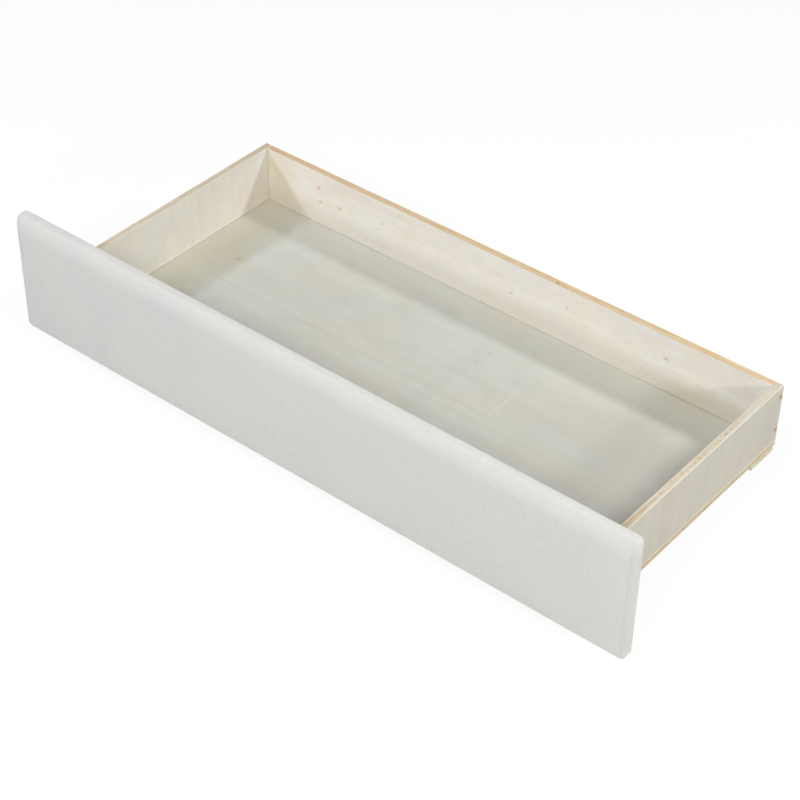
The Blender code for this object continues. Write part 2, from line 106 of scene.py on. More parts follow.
def add(tree, kind, settings=None, inputs=None):
    """Adds a shader node with its settings, or its operation alone, and its inputs."""
    made = tree.nodes.new("ShaderNode" + kind)
    if isinstance(settings, str):
        settings = {"operation": settings}
    for name, value in (settings or {}).items():
        if name == "stops":
            ramp = made.color_ramp.elements
            while len(ramp) < len(value):
                ramp.new(1.0)
            for stop, (place, colour) in zip(ramp, value):
                stop.position = place
                stop.color = linear(colour)
        else:
            setattr(made, name, value)
    fill(tree, made, inputs or {})
    return made


def seen_directly(tree):
    """1 for what the camera or a shiny surface sees, 0 for the light that falls on the drawer."""
    path = add(tree, "LightPath").outputs
    either = add(tree, "Math", "MAXIMUM", [path["Is Camera Ray"], path["Is Glossy Ray"]])
    return add(tree, "Math", "MAXIMUM", [either, path["Is Transmission Ray"]])


floor_size = 12.0
bpy.ops.mesh.primitive_plane_add(size=floor_size)
floor = bpy.context.object
floor.name = "white_paper"
paper = bpy.data.materials.new("matt_white_paper")
paper.use_nodes = True
paper_tree = paper.node_tree
paper_tree.nodes.clear()
paper_fill_share = 0.86  # how much of the paper's own white shows instead of its shading
paper_white_strength = 1.04  # makes up for the shading's share, so that open paper is white
paper_shade = add(paper_tree, "BsdfDiffuse", None, {"Color": linear("#f7f7f6")})
paper_white = {"Color": linear("#ffffff"), "Strength": paper_white_strength}
paper_white = add(paper_tree, "Emission", None, paper_white)
paper_share = [seen_directly(paper_tree), paper_fill_share]
paper_share = add(paper_tree, "Math", "MULTIPLY", paper_share)
paper_mix = add(paper_tree, "MixShader", None, [paper_share, paper_shade, paper_white])
add(paper_tree, "OutputMaterial", None, {"Surface": paper_mix})
floor.data.materials.append(paper)
floor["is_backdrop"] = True

world = bpy.data.worlds.new("white_walls")
world.use_nodes = True
bpy.context.scene.world = world
world_tree = world.node_tree
world_tree.nodes.clear()
wall_fill = 0.024
walls = add(world_tree, "Background", None, {"Color": linear("#ffe4a0"), "Strength": wall_fill})
walls_seen = add(world_tree, "Background", None, {"Color": linear("#ffffff"), "Strength": 1.0})
walls_mix = add(world_tree, "MixShader", None, [seen_directly(world_tree), walls, walls_seen])
add(world_tree, "OutputWorld", None, {"Surface": walls_mix})

lamp_distance = 2.6
drawer_middle = Vector((0, 0, 0.1))
# Each softbox: the way to it, the axis it lies along, its length and width in metres, its watts, its tint
softboxes = {
    "left": ((-1.17, -0.79, 1.0), (0, 1, 0), (2.0, 0.22), 24.0, "#e6edff"),
    "rear": ((1.00, 0.765, 1.0), (1, 0, 0), (0.50, 0.24), 28.0, "#fafeff"),
    "right": ((2.15, -0.85, 1.0), (0, 1, 0), (0.8, 0.22), 16.8, "#fefffc"),
    "overhead": ((0.00, -0.15, 1.0), (1, 0, 0), (1.2, 0.80), 9.4, "#fffff8"),
    "front_high": ((0.00, -0.68, 1.0), (1, 0, 0), (0.9, 0.70), 15.2, "#fff9ed"),
    "front_over": ((0.28, -1.15, 1.0), (1, 0, 0), (1.2, 0.30), 16.3, "#fffcf9"),
}
for lamp_name, (toward, along, lamp_size, watts, tint) in softboxes.items():
    lamp_data = bpy.data.lights.new(f"softbox_{lamp_name}", "AREA")
    lamp_data.shape = "RECTANGLE"
    lamp_data.size, lamp_data.size_y = lamp_size
    lamp_data.energy = watts
    lamp_data.color = linear(tint)[:3]
    lamp = bpy.data.objects.new(f"softbox_{lamp_name}", lamp_data)
    lamp_way = Vector(toward).normalized()
    lamp_long = (Vector(along) - Vector(along).dot(lamp_way) * lamp_way).normalized()
    lamp_axes = Matrix((lamp_long, lamp_way.cross(lamp_long), lamp_way)).transposed()
    lamp.matrix_world = Matrix.Translation(drawer_middle + lamp_distance * lamp_way) @ lamp_axes.to_4x4()
    bpy.context.collection.objects.link(lamp)


# Padded front. A sheet of woven polyester is pulled over a foam pad on a fibreboard, turned on to the back
# and stapled there. The foam makes a soft roll along the top edge and tighter ones at the ends and below.
def add_piece(name, mesh, material, body):
    """A new object with its finish, which rides on a body."""
    piece = bpy.data.objects.new(name, mesh)
    bpy.context.collection.objects.link(piece)
    piece.data.materials.clear()
    piece.data.materials.append(material)
    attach(piece, body)
    return piece


def corner_points(*nodes):
    """Lowest and highest corner of some CAD nodes together."""
    boxes = [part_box(node) for node in nodes]
    low = Vector([min(box[0][k] for box in boxes) for k in range(3)])
    high = Vector([max(box[1][k] for box in boxes) for k in range(3)])
    return low, high


cover_low, cover_high = corner_points("front_cover")
foam_back = corner_points("front_foam")[1].y
front_half = (cover_high - cover_low) / 2
front_centre = (cover_high + cover_low) / 2
cover_thickness = 1.0 * MM
layer_gap = 0.3 * MM
foam_depth = cover_thickness + layer_gap
front_corner = 6.0 * MM
front_face_turn = 3.0 * MM
front_back_turn = 2.5 * MM
cover_turned_in = 32 * MM
thin_middle = 0.8 * MM
crown_rise = 1.0 * MM
crown_reach = 0.8  # of the half height
pull_wave = 70 * MM  # between two staples' pulls, along the edge
pull_share = 0.10
dimple_wave = 95 * MM
dimple_depth = 0.12 * MM
dimple_reach = 20 * MM  # the dimples fade out towards the edge
# Each soft edge: how far in it starts, and how far it falls back
rolls = {"top": (29 * MM, 5.4 * MM), "low": (22 * MM, 1.8 * MM), "end": (12 * MM, 1.0 * MM)}
roll_power = 3.2
crease_inset = 4.0 * MM  # at each end the cover dips between the foam and the board's corner
crease_reach = 0.9 * MM
crease_depth = 0.6 * MM
face_insets = [82, 76, 68, 59, 50, 42, 35, 30, 26, 23, 20.5, 18, 15.5, 13, 11, 9, 7.5]  # in mm
face_insets += [6, 5, 4.6, 4.2, 3.8, 3.4]  # closer together at the creases
corner_parts = 10
turn_parts = 8
side_part = 9 * MM


def front_ring(inset, radius):
    """The front's outline, drawn in: places across and up from its centre, and their ways outward."""
    half_x = front_half.x - inset - radius
    half_z = front_half.z - inset - radius
    long_parts = round(2 * front_half.x / side_part)
    short_parts = round(2 * front_half.z / side_part)
    places = []
    ways = []
    for quarter in range(4):
        sign_x = 1 if quarter in (0, 3) else -1
        sign_z = 1 if quarter in (0, 1) else -1
        centre = np.array([sign_x * half_x, sign_z * half_z])
        for part in range(corner_parts + 1):
            angle = (quarter + part / corner_parts) * math.pi / 2
            way = np.array([math.cos(angle), math.sin(angle)])
            places.append(centre + radius * way)
            ways.append(way)
        last = places[-1]
        turned = quarter % 2 == 0
        parts = long_parts if turned else short_parts
        span = np.array([-2 * sign_x * half_x, 0]) if turned else np.array([0, -2 * sign_z * half_z])
        for part in range(1, parts):
            places.append(last + span * part / parts)
            ways.append(ways[-1])
    return np.array(places), np.array(ways)


def face_drop(places, inset):
    """How far the cover's face lies behind its foremost point, at each place of a ring."""
    drops = []
    for x, z in places:
        pull = 1 + pull_share * noise.noise(Vector((x, 0, z)) / pull_wave)
        long_side = "top" if z > 0 else "low"
        falls = []
        for side, distance in (("end", front_half.x - abs(x)), (long_side, front_half.z - abs(z))):
            width, depth = rolls[side]
            falls.append(depth * max(0, 1 - distance / (width * pull)) ** roll_power)
        dimple = dimple_depth * (1 + noise.noise(Vector((x, 1, z)) / dimple_wave))
        off_crease = (front_half.x - abs(x) - crease_inset) / crease_reach
        flat_share = 1 - falls[1] / rolls[long_side][1]  # the crease runs out where that side rolls back
        crease = crease_depth * flat_share * math.exp(-off_crease * off_crease)
        drops.append(math.hypot(*falls) + dimple * min(1, inset / dimple_reach) + crease)
    run = min(1, inset / (crown_reach * front_half.z))
    return np.array(drops) + crown_rise * (1 - math.sin(run * math.pi / 2))


def ring_at(places, ways, y):
    """A ring: its points, their places as seen from the front, and their ways outward."""
    depths = np.broadcast_to(y, len(places))
    points = np.column_stack([places[:, 0] + front_centre.x, depths, places[:, 1] + front_centre.z])
    return points, places, ways


def face_rings(depth, insets):
    """Rings over the padded face of a layer that lies depth under the cover's surface."""
    rings = []
    for inset in insets:
        places, ways = front_ring(inset, min(front_corner, front_half.z - inset - thin_middle))
        rings.append(ring_at(places, ways, cover_low.y + depth + face_drop(places, inset)))
    return rings


def turned_rings(depth, back_y):
    """Rings of the turn on to the front's edge, of the turn on to its back, and of the cloth turned in."""
    rings = []
    turn = front_face_turn - depth
    for part in range(turn_parts + 1):
        angle = part / turn_parts * math.pi / 2
        inset = depth + turn * (1 - math.sin(angle))
        places, ways = front_ring(inset, front_corner - depth)
        drop = face_drop(places, front_face_turn) + turn * (1 - math.cos(angle))
        rings.append(ring_at(places, ways, cover_low.y + depth + drop))
    turn = front_back_turn - depth
    for part in range(turn_parts + 1):
        angle = part / turn_parts * math.pi / 2
        places, ways = front_ring(depth + turn * (1 - math.cos(angle)), front_corner - depth)
        rings.append(ring_at(places, ways, back_y - turn * (1 - math.sin(angle))))
    for share in (0.12, 0.3, 0.6, 1.0):
        inset = front_back_turn + share * (cover_turned_in - front_back_turn)
        rings.append(ring_at(*front_ring(inset, front_corner), back_y))
    return rings


def cloth_places(rings):
    """For each ring, its points' places on the cloth laid flat: the cloth runs on past the outline."""
    spare = np.zeros(len(rings[0][0]))
    laid = [rings[0][1].copy()]
    for (before, before_flat, _), (after, after_flat, ways) in zip(rings, rings[1:]):
        outward = ((after_flat - before_flat) * ways).sum(axis=1)
        run = np.hypot(outward, after[:, 1] - before[:, 1])
        spare = spare + run - outward
        laid.append(after_flat + ways * spare[:, None])
    return laid


def smooth(mesh, sharp_from):
    """Shades a mesh smooth, but for the edges that turn by more than some degrees."""
    mesh.shade_smooth()
    mesh.set_sharp_from_angle(angle=math.radians(sharp_from))
    return mesh


def ring_skin(name, rings, laid):
    """A skin over the rings, closed at each end, with its places on the flat cloth as a UV map."""
    bm = bmesh.new()
    cloth = bm.loops.layers.uv.new("cloth")
    flat = {}
    rows = []
    for points, places in zip(rings, laid):
        row = [bm.verts.new(point) for point in points]
        flat.update(zip(row, places))
        rows.append(row)
    count = len(rows[0])
    for row, following in zip(rows, rows[1:]):
        for k in range(count):
            j = (k + 1) % count
            bm.faces.new((row[k], row[j], following[j], following[k]))
    bm.faces.new(rows[0])
    bm.faces.new(rows[-1])
    bmesh.ops.recalc_face_normals(bm, faces=bm.faces)
    for face in bm.faces:
        for loop in face.loops:
            loop[cloth].uv = flat[loop.vert]
    mesh = bpy.data.meshes.new(name)
    bm.to_mesh(mesh)
    bm.free()
    return smooth(mesh, 50)


def new_finish(name):
    """A new node material: the material, its node tree and its Principled shader."""
    made = bpy.data.materials.new(name)
    made.use_nodes = True
    return made, made.node_tree, made.node_tree.nodes["Principled BSDF"]


covering = {"data_type": "RGBA"}  # one colour is laid over another
tinting = {"data_type": "RGBA", "blend_type": "MULTIPLY"}


def upholstery_weave():
    """Woven polyester: matt, soft at grazing light, with slubs in both threads. A painted highlight makes it
    paler along the top roll; painted shade darkens the weave's hollows and the crease at each end."""
    made, tree, shader = new_finish("woven_polyester_upholstery")
    thread = 1.3 * MM  # the real thread is half as wide, and is drawn as coarse as it needs to show
    slub_long = 14 * MM
    slub_wide = 1.4 * MM
    cloth = add(tree, "UVMap", {"uv_map": "cloth"})
    split = add(tree, "SeparateXYZ", None, [cloth])
    flat = {"noise_dimensions": "2D"}
    wander = add(tree, "TexNoise", flat, {"Vector": cloth, "Scale": 1 / (9 * MM), "Detail": 2.0})
    heights = []
    for axis, sway_share in (("X", 0.7), ("Y", -0.7)):
        sway = add(tree, "Math", "MULTIPLY", [wander, sway_share * thread])
        place = add(tree, "Math", "ADD", [split.outputs[axis], sway])
        turns = add(tree, "Math", "MULTIPLY", [place, math.pi / thread])
        wave = add(tree, "Math", "SINE", [turns])
        heights.append(add(tree, "Math", "ABSOLUTE", [wave]))
    checks = {"Vector": cloth, "Scale": 1 / thread, "Color1": (1, 1, 1, 1), "Color2": (0, 0, 0, 1)}
    checks = add(tree, "TexChecker", None, checks)
    over = add(tree, "Mix", None, {"Factor": checks, "A": heights[0], "B": heights[1]})
    slubs = []
    for size in ((slub_long, slub_wide, 1), (slub_wide, slub_long, 1)):
        drawn = add(tree, "VectorMath", "DIVIDE", [cloth, size])
        slub = {"Vector": drawn, "Scale": 1.0, "Detail": 3.0, "Roughness": 0.65}
        slubs.append(add(tree, "TexNoise", flat, slub))
    slub = add(tree, "Mix", None, {"Factor": 0.5, "A": slubs[0], "B": slubs[1]})
    fleck = {"Vector": cloth, "Scale": 1 / (2.4 * MM), "Detail": 4.0, "Roughness": 0.75}
    fleck = add(tree, "TexNoise", flat, fleck)
    cloud = {"Vector": cloth, "Scale": 1 / (90 * MM), "Detail": 3.0, "Roughness": 0.55}
    cloud = add(tree, "TexNoise", flat, cloud)
    both = add(tree, "Mix", None, {"Factor": 0.5, "A": slub, "B": fleck})
    speckles = [(0.34, "#cfcfcd"), (0.5, "#d9d9d7"), (0.66, "#e2e2e0")]
    speckle = add(tree, "ValToRGB", {"stops": speckles}, [both])
    tone = add(tree, "ValToRGB", {"stops": [(0.35, "#fbfcfd"), (0.65, "#fffefc")]}, [cloud])
    toned = add(tree, "Mix", tinting, {"Factor": 1.0, "A": speckle, "B": tone})
    # Painted highlight: the cloth is mixed paler along the top roll, where light from above catches it.
    roll_start = front_half.z - rolls["top"][0]
    roll_tight = front_half.z - 9 * MM
    painted_roll_highlight = {"Value": split.outputs["Y"], "From Min": roll_start, "From Max": roll_tight, "To Max": 0.24}
    painted_roll_highlight = add(tree, "MapRange", {"interpolation_type": "SMOOTHSTEP"}, painted_roll_highlight)
    toned = add(tree, "Mix", covering, {"Factor": painted_roll_highlight, "A": toned, "B": linear("#f0f0ee")})
    # Painted shade: the colour is a little darker in the weave's hollows, where the threads lie low.
    hollow = add(tree, "Mix", tinting, {"Factor": 0.10, "A": toned, "B": over})
    # Painted shade: a dull line along the crease at each end, where the fold lies in shade.
    off_crease = add(tree, "Math", "ABSOLUTE", [split.outputs["X"]])
    off_crease = add(tree, "Math", "SUBTRACT", [off_crease, crease_on_cloth])
    off_crease = add(tree, "Math", "ABSOLUTE", [off_crease])
    painted_crease_shade = {"Value": off_crease, "From Min": 0.2 * MM, "From Max": 2.0 * MM, "To Min": 0.09, "To Max": 0.0}
    painted_crease_shade = add(tree, "MapRange", None, painted_crease_shade)
    hollow = add(tree, "Mix", covering, {"Factor": painted_crease_shade, "A": hollow, "B": linear("#8c8c88")})
    relief = add(tree, "Mix", None, {"Factor": 0.4, "A": over, "B": slub})
    bump = add(tree, "Bump", None, {"Height": relief, "Distance": 0.25 * MM, "Strength": 0.5})
    fill(tree, shader, {"Base Color": hollow, "Normal": bump, "Roughness": 0.92, "IOR": 1.46})
    fill(tree, shader, {"Specular IOR Level": 0.25, "Sheen Weight": 0.08, "Sheen Roughness": 0.45})
    return made


def open_cell_foam():
    """Polyurethane foam: pale yellow, dead matt, full of tiny cells."""
    made, tree, shader = new_finish("polyurethane_foam")
    place = add(tree, "TexCoord").outputs["Object"]
    cells = add(tree, "TexVoronoi", None, {"Vector": place, "Scale": 1 / (1.2 * MM), "Randomness": 1.0})
    depth = cells.outputs["Distance"]
    tone = add(tree, "ValToRGB", {"stops": [(0.0, "#c9b884"), (0.6, "#e6dcb4")]}, [depth])
    bump = add(tree, "Bump", None, {"Height": depth, "Distance": 0.3 * MM, "Strength": 0.6})
    fill(tree, shader, {"Base Color": tone, "Normal": bump, "Roughness": 0.95})
    return made


cover_back = cover_high.y
face_steps = [inset * MM for inset in face_insets]
outer_rings = face_rings(0, face_steps) + turned_rings(0, cover_back)
inner_rings = face_rings(cover_thickness, face_steps)
inner_rings += turned_rings(cover_thickness, cover_back - cover_thickness)
outer_laid = cloth_places(outer_rings)
before_crease = max(k for k, inset in enumerate(face_steps) if inset > crease_inset)
crease_on_cloth = float(np.abs(outer_laid[before_crease][:, 0]).max())
crease_on_cloth += face_steps[before_crease] - crease_inset
inner_laid = cloth_places(inner_rings)
cover_mesh = ring_skin(
    "upholstery_cover",
    [r[0] for r in outer_rings] + [r[0] for r in inner_rings[::-1]],
    outer_laid + inner_laid[::-1],
)
cover = add_piece("upholstery_cover", cover_mesh, upholstery_weave(), "root")
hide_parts("front_cover")

foam_inset = front_face_turn  # the foam ends where the cover starts to turn
foam_rings = face_rings(foam_depth, face_steps + [foam_inset])
foam_rings.append(ring_at(*front_ring(foam_inset, front_corner - foam_depth), foam_back))
foam_mesh = ring_skin("foam_pad", [r[0] for r in foam_rings], cloth_places(foam_rings))
foam_pad = add_piece("foam_pad", foam_mesh, open_cell_foam(), "root")
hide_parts("front_foam")


# Board inside the padded front. Medium-density fibreboard is sawn to size and left bare, and the foam and
# the cover hide it.
def fibreboard():
    """Medium-density fibreboard: an even brown felt of wood fibre with darker flecks of bark."""
    made, tree, shader = new_finish("medium_density_fibreboard")
    place = add(tree, "TexCoord").outputs["Object"]
    fibre = {"Vector": place, "Scale": 1 / (1.1 * MM), "Detail": 5.0, "Roughness": 0.7}
    fibre = add(tree, "TexNoise", None, fibre)
    tones = [(0.32, "#7d6144"), (0.5, "#a98c68"), (0.7, "#bea27c")]
    tone = add(tree, "ValToRGB", {"stops": tones}, [fibre])
    bump = add(tree, "Bump", None, {"Height": fibre, "Distance": 0.1 * MM, "Strength": 0.4})
    fill(tree, shader, {"Base Color": tone, "Normal": bump, "Roughness": 0.85})
    return made


def repaint(node, material):
    """Gives a CAD node its finish; its shape stays."""
    node_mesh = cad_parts[node].data
    node_mesh.materials.clear()
    node_mesh.materials.append(material)


repaint("front_board", fibreboard())


# Dust lining. A pale spun-bonded cloth covers the raw edge of the cover on the back of the front. Staples
# hold it all round, and it puffs a little between them where the box doesn't press on it.
def spunbond():
    """Spun-bonded polypropylene: thin, matt, with faint strands and rows of tiny pressed bond points."""
    made, tree, shader = new_finish("spunbond_polypropylene")
    place = add(tree, "TexCoord").outputs["Object"]
    bond = add(tree, "TexVoronoi", None, {"Vector": place, "Scale": 1 / (1.6 * MM), "Randomness": 0.12})
    bond_depth = bond.outputs["Distance"]
    strands = {"Vector": place, "Scale": 1 / (5 * MM), "Detail": 6.0, "Roughness": 0.7, "Distortion": 1.5}
    strands = add(tree, "TexNoise", None, strands)
    tone = add(tree, "ValToRGB", {"stops": [(0.3, "#c3c2bd"), (0.7, "#d9d8d3")]}, [strands])
    dots = add(tree, "ValToRGB", {"stops": [(0.12, "#a9a8a3"), (0.3, "#ffffff")]}, [bond_depth])
    colour = add(tree, "Mix", tinting, {"Factor": 0.6, "A": tone, "B": dots})
    bump = add(tree, "Bump", None, {"Height": bond_depth, "Distance": 0.15 * MM, "Strength": 0.6})
    fill(tree, shader, {"Base Color": colour, "Normal": bump, "Roughness": 0.85, "Specular IOR Level": 0.2})
    return made


def zinc_plate():
    """Bright zinc plate on steel: bluish grey, half gloss, faintly cloudy, with fine rolling marks."""
    made, tree, shader = new_finish("bright_zinc_plated_steel")
    place = add(tree, "TexCoord").outputs["Object"]
    cloud = {"Vector": place, "Scale": 1 / (6 * MM), "Detail": 4.0, "Roughness": 0.6}
    cloud = add(tree, "TexNoise", None, cloud)
    mark_size = (0.3 * MM, 7 * MM, 0.3 * MM)
    rolled = add(tree, "VectorMath", "DIVIDE", [place, mark_size])
    marks = add(tree, "TexNoise", None, {"Vector": rolled, "Scale": 1.0, "Detail": 2.0})
    tones = [(0.3, "#a9adb2"), (0.55, "#c3c6c9"), (0.75, "#cfcdc4")]
    tone = add(tree, "ValToRGB", {"stops": tones}, [cloud])
    gloss = {"Value": cloud, "From Min": 0.3, "From Max": 0.7, "To Min": 0.28, "To Max": 0.45}
    gloss = add(tree, "MapRange", None, gloss)
    bump = add(tree, "Bump", None, {"Height": marks, "Distance": 0.02 * MM, "Strength": 0.5})
    fill(tree, shader, {"Base Color": tone, "Roughness": gloss, "Normal": bump, "Metallic": 1.0})
    return made


lining_low, lining_high = corner_points("front_lining")
box_low, box_high = corner_points("left_side", "right_side", "bottom_panel")
lining_margin = lining_low.x - cover_low.x
lining_insets = [0, 2, 5, 8, 12, 17, 24, 34, 46, 56]
puff_height = 0.9 * MM
puff_reach = 14 * MM  # from a staple to where the cloth stands proud
pressed_reach = 12 * MM  # from the box to where the cloth is free
staple_crown = 10 * MM
staple_leg = 6 * MM
staple_wire = 0.5 * MM
staple_wide = 0.9 * MM
staple_bend = 0.7 * MM
staple_round = 0.12 * MM
staple_stray = 2  # mm along the row, either way
staple_lean = 9  # degrees, either way
staple_pitch = 46 * MM
staple_inside = 7 * MM  # from the lining's edge
staple_proud = 0.3 * MM
rough_hand = np.random.default_rng(seed=11)


def outside_box(x, z):
    """How far a place on the back of the front lies outside the box that is pressed against it."""
    return math.hypot(max(abs(x) - box_high.x, 0), max(z - box_high.z, box_low.z - z, 0))


def lining_skin(held):
    """The lining's skin, pressed flat by the box and at the held places, and puffed out between them."""
    rings = []
    flat = []
    for y, insets, moves in ((lining_low.y, lining_insets[::-1], 0), (lining_high.y, lining_insets, 1)):
        for inset in insets:
            depth = lining_margin + inset * MM
            places, _ = front_ring(depth, min(front_corner, front_half.z - depth - thin_middle))
            points = []
            for u, v in places:
                x, z = u + front_centre.x, v + front_centre.z
                free = min(outside_box(x, z) / pressed_reach, 1) ** 2
                near = min(math.hypot(x - held_x, z - held_z) for held_x, held_z in held)
                edge = math.exp(-inset * MM / puff_reach)
                lift = puff_height * free * edge * (1 - math.exp(-((near / puff_reach) ** 2)))
                points.append((x, y + moves * lift, z))
            rings.append(np.array(points))
            flat.append(places)
    return ring_skin("dust_lining", rings, flat)


def staple_skin(bm, placing):
    """One staple: a flat wire with its crown along X at height 0 and its two legs down."""
    half = staple_crown / 2
    outer = [(-half, -staple_leg), (-half, -staple_bend), (staple_bend - half, 0)]
    inside = staple_wire - half
    inner = [(inside, -staple_leg), (inside, -staple_bend), (staple_bend - half, -staple_wire)]
    outline = outer + [(-x, z) for x, z in outer[::-1]] + [(-x, z) for x, z in inner] + inner[::-1]
    near = [bm.verts.new(placing @ Vector((x, -staple_wide / 2, z))) for x, z in outline]
    across_wire = placing.to_3x3() @ Vector((0, staple_wide, 0))
    far = [bm.verts.new(vert.co + across_wire) for vert in near]
    bm.faces.new(near)
    bm.faces.new(far)
    for k in range(len(near)):
        j = (k + 1) % len(near)
        bm.faces.new((near[k], near[j], far[j], far[k]))


def staples(name, placings):
    """All the staples of one group, as one piece, their edges rounded as on drawn wire."""
    bm = bmesh.new()
    for placing in placings:
        staple_skin(bm, placing @ Matrix.Translation((0, 0, staple_proud)))
    bmesh.ops.recalc_face_normals(bm, faces=bm.faces)
    mesh = bpy.data.meshes.new(name)
    bm.to_mesh(mesh)
    bm.free()
    piece = add_piece(name, mesh, zinc, "root")
    drawn = piece.modifiers.new("drawn_wire", "BEVEL")
    drawn.width = staple_round
    drawn.segments = 2
    return piece


zinc = zinc_plate()
staple_u = front_half.x - lining_margin - staple_inside
staple_v = front_half.z - lining_margin - staple_inside
lining_staple_places = []
for along_x, reach, across in ((True, staple_u, staple_v), (False, staple_v, staple_u)):
    count = round(2 * reach / staple_pitch)
    for k in range(count + 1):
        if not along_x and k in (0, count):
            continue
        for side in (-1, 1):
            run = -reach + 2 * reach * k / count + rough_hand.uniform(-staple_stray, staple_stray) * MM
            run = max(-reach, min(reach, run))
            lean = math.radians(rough_hand.uniform(-staple_lean, staple_lean))
            u, v = (run, side * across) if along_x else (side * across, run)
            x, z = u + front_centre.x, v + front_centre.z
            if outside_box(x, z) == 0:
                continue
            turn = lean if along_x else lean + math.pi / 2
            on_back = Matrix.Translation((x, lining_high.y, z)) @ Matrix.Rotation(-math.pi / 2, 4, "X")
            lining_staple_places.append(on_back @ Matrix.Rotation(turn, 4, "Z"))
lining_staples = staples("lining_staples", lining_staple_places)
lining_mesh = lining_skin([(place.translation.x, place.translation.z) for place in lining_staple_places])
lining = add_piece("dust_lining", lining_mesh, spunbond(), "root")
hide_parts("front_lining")


